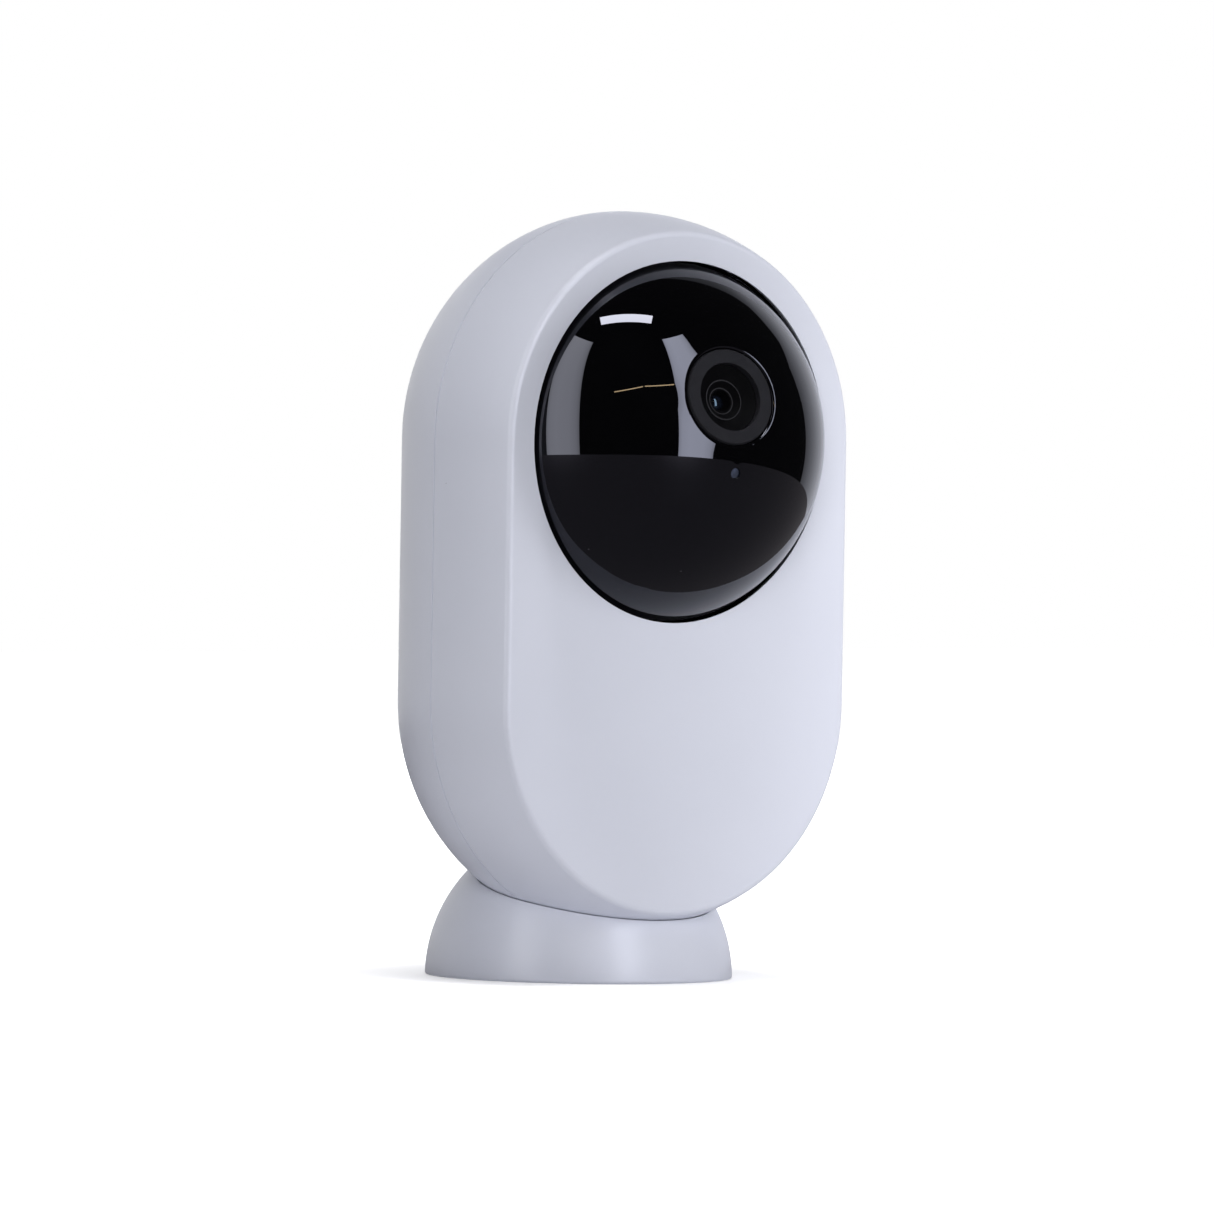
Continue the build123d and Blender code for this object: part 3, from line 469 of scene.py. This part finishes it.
def dome(name, angles_at, material):
    """A sheet of rings round the line out of the face, with the angle of each ring at a bearing."""
    points, faces = [], []
    for i, bearing in enumerate(BEARINGS):
        right, up = cos(radians(bearing)), sin(radians(bearing))
        angles = [radians(angle) for angle in angles_at(bearing)]
        for angle in angles:
            out = Vector((right * sin(angle), -cos(angle), up * sin(angle)))
            points.append(BALL_CENTRE + out * ROOM_RADIUS)
        here, after = i * len(angles), (i + 1) % ROOM_STEPS * len(angles)
        for k in range(len(angles) - 1):
            faces.append((here + k, here + k + 1, after + k + 1, after + k))
    return sheet(name, points, faces, material)


def dark_room():
    """A dark dome in front of the face."""
    shares = [k / ROOM_RINGS for k in range(ROOM_RINGS + 1)]
    material = glow("dark_room", ROOM_DARK, ROOM_LEVEL)
    piece = dome("dark_room", lambda b: [around(ROOM_EDGE, b) * share for share in shares], material)
    mirrored(piece, [1.0] * len(piece.data.vertices))


def pale_rim():
    """A pale rim round the dark dome."""
    material = glow("pale_rim", RIM_PALE)
    piece = dome("pale_rim", lambda b: [around(ROOM_EDGE, b) + beyond for beyond, _ in RIM_RINGS], material)
    mirrored(piece, [around(RIM_LEVEL, b) * share for b in BEARINGS for _, share in RIM_RINGS])


def table():
    """A grey table top with the soft glow of the cards on it."""
    points, levels = [], []
    for i in range(TABLE_STEPS + 1):
        azimuth = 360 * i / TABLE_STEPS - 180
        away = towards(azimuth, 0)
        glows = 0.0
        for middle, level in TABLE_GLOWS:
            glows += level * exp(-(((azimuth - middle) / TABLE_GLOW_WIDE) ** 2))
        for size, share in TABLE_RINGS:
            x = size * (TABLE_CENTRE_X + TABLE_HALF_X * away.x)
            y = BALL_CENTRE.y + size * TABLE_HALF_Y * away.y
            points.append((x, y, TABLE_HEIGHT))
            levels.append(TABLE_LEVEL + share * glows)
    faces = grid_of_faces(TABLE_STEPS + 1, len(TABLE_RINGS))
    mirrored(sheet("table", points, faces, glow("table", TABLE_GREY)), levels)


def floor():
    """A pale floor with the object's shadow, which the camera sees as white further out."""
    paint = Paint("floor_white")
    paint.set("Base Color", FLOOR_PALE)
    paint.set("Roughness", FLOOR_ROUGH)
    paint.set("Specular IOR Level", 0.0)
    paint.set("Emission Color", PURE_WHITE)
    away = paint.vector_math("LENGTH", paint.place)["Value"]
    lift = paint.spread(away, SHADOW_ENDS, SHADOW_LIFT, 1.0, interpolation_type="SMOOTHSTEP")
    seen = paint.add("LightPath").outputs["Is Camera Ray"]
    paint.set("Emission Strength", paint.math("MULTIPLY", seen, lift))
    h = FLOOR_HALF
    corners = [(-h, -h, 0), (h, -h, 0), (h, h, 0), (-h, h, 0)]
    piece = sheet("floor", corners, [(0, 1, 2, 3)], paint.material)
    piece.visible_glossy = False


floor()
dark_room()
pale_rim()
table()
card(
    "strip_left", left_edge=(-89.6, -102.5), right_edge=(-68.7, -79.0), elevations=(-9.5, 57.5),
    colour=(1.0, 1.0, 1.0), strength=4.1,
)
strip_middle = card(
    "strip_middle", left_edge=(-9.9, -7.0), right_edge=(11.9, 18.7), elevations=(-9.5, 62.0),
    colour=(0.97, 0.99, 1.05), strength=6.9,
)
keep_off(strip_middle, "rear_cover")
ceiling_lamp(azimuth=-39.0, ahead_ends=(0.146, 0.256), aside_ends=(-0.286, 0.144), strength=18.0)
shelf_line("shelf_line", azimuths=(-49.8, -31.0), elevations=(29.0, 32.7))
shelf_line("shelf_line_far", azimuths=(-29.7, -9.6), elevations=(32.9, 33.4))

# Light: lamps that reflections don't show, as the cards stand for them there, and the world's soft light
LAMP_AIM = Vector((15, -24, 60)) * MM
LAMP_DISTANCE = 1.0
SOFT_LIGHT = 0.05


def aimed(name, data, aim, azimuth, elevation, distance, roll=0.0):
    """A lamp or camera that looks at a point from an azimuth, an elevation and a distance."""
    piece = bpy.data.objects.new(name, data)
    scene.collection.objects.link(piece)
    back = towards(azimuth, elevation)
    piece.location = aim + back * distance
    piece.rotation_mode = "QUATERNION"
    level = (-back).to_track_quat("-Z", "Y")
    piece.rotation_quaternion = level @ Quaternion(UP, radians(roll))
    return piece


def lamp(name, azimuth, elevation, wide, high, power, distance=LAMP_DISTANCE):
    data = bpy.data.lights.new(name, "AREA")
    data.shape = "RECTANGLE"
    data.size = wide
    data.size_y = high
    data.energy = power
    piece = aimed(name, data, LAMP_AIM, azimuth, elevation, distance)
    piece.visible_glossy = False


def surroundings():
    """White where the camera, mirrors and glass look past the object, and soft light elsewhere."""
    world = bpy.data.worlds.new("studio")
    scene.world = world
    build = Nodes(world)
    paths = build.add("LightPath").outputs
    seen = paths["Is Camera Ray"]
    for rays in ("Is Glossy Ray", "Is Transmission Ray"):
        seen = build.math("MAXIMUM", seen, paths[rays])
    back = build.tree.nodes["Background"]
    build.feed(back.inputs["Color"], PURE_WHITE)
    build.feed(back.inputs["Strength"], build.spread(seen, (0.0, 1.0), SOFT_LIGHT, 1.0))


lamp("left_lamp", azimuth=-80, elevation=24, wide=0.36, high=1.1, power=0.45)
lamp("front_lamp", azimuth=-38, elevation=18, wide=0.4, high=0.4, power=3.9)
lamp("top_lamp", azimuth=-39, elevation=80, wide=0.43, high=0.1, power=4.6)
lamp("back_lamp", azimuth=147, elevation=20, wide=0.6, high=0.6, power=5.3)
lamp("side_lamp", azimuth=45, elevation=5, wide=0.04, high=0.1, power=0.115, distance=0.14)
surroundings()


def camera():
    data = bpy.data.cameras.new("camera")
    data.sensor_width = SENSOR_MM
    focal_pixels = PIXELS_PER_MM / MM * VIEW_DISTANCE
    data.lens = focal_pixels / PIXELS * SENSOR_MM
    data.clip_end = VIEW_REACH
    scene.camera = aimed("camera", data, AIM, VIEW_AZIMUTH, VIEW_ELEVATION, VIEW_DISTANCE, VIEW_ROLL)


camera()
scene.view_settings.view_transform = "Standard"
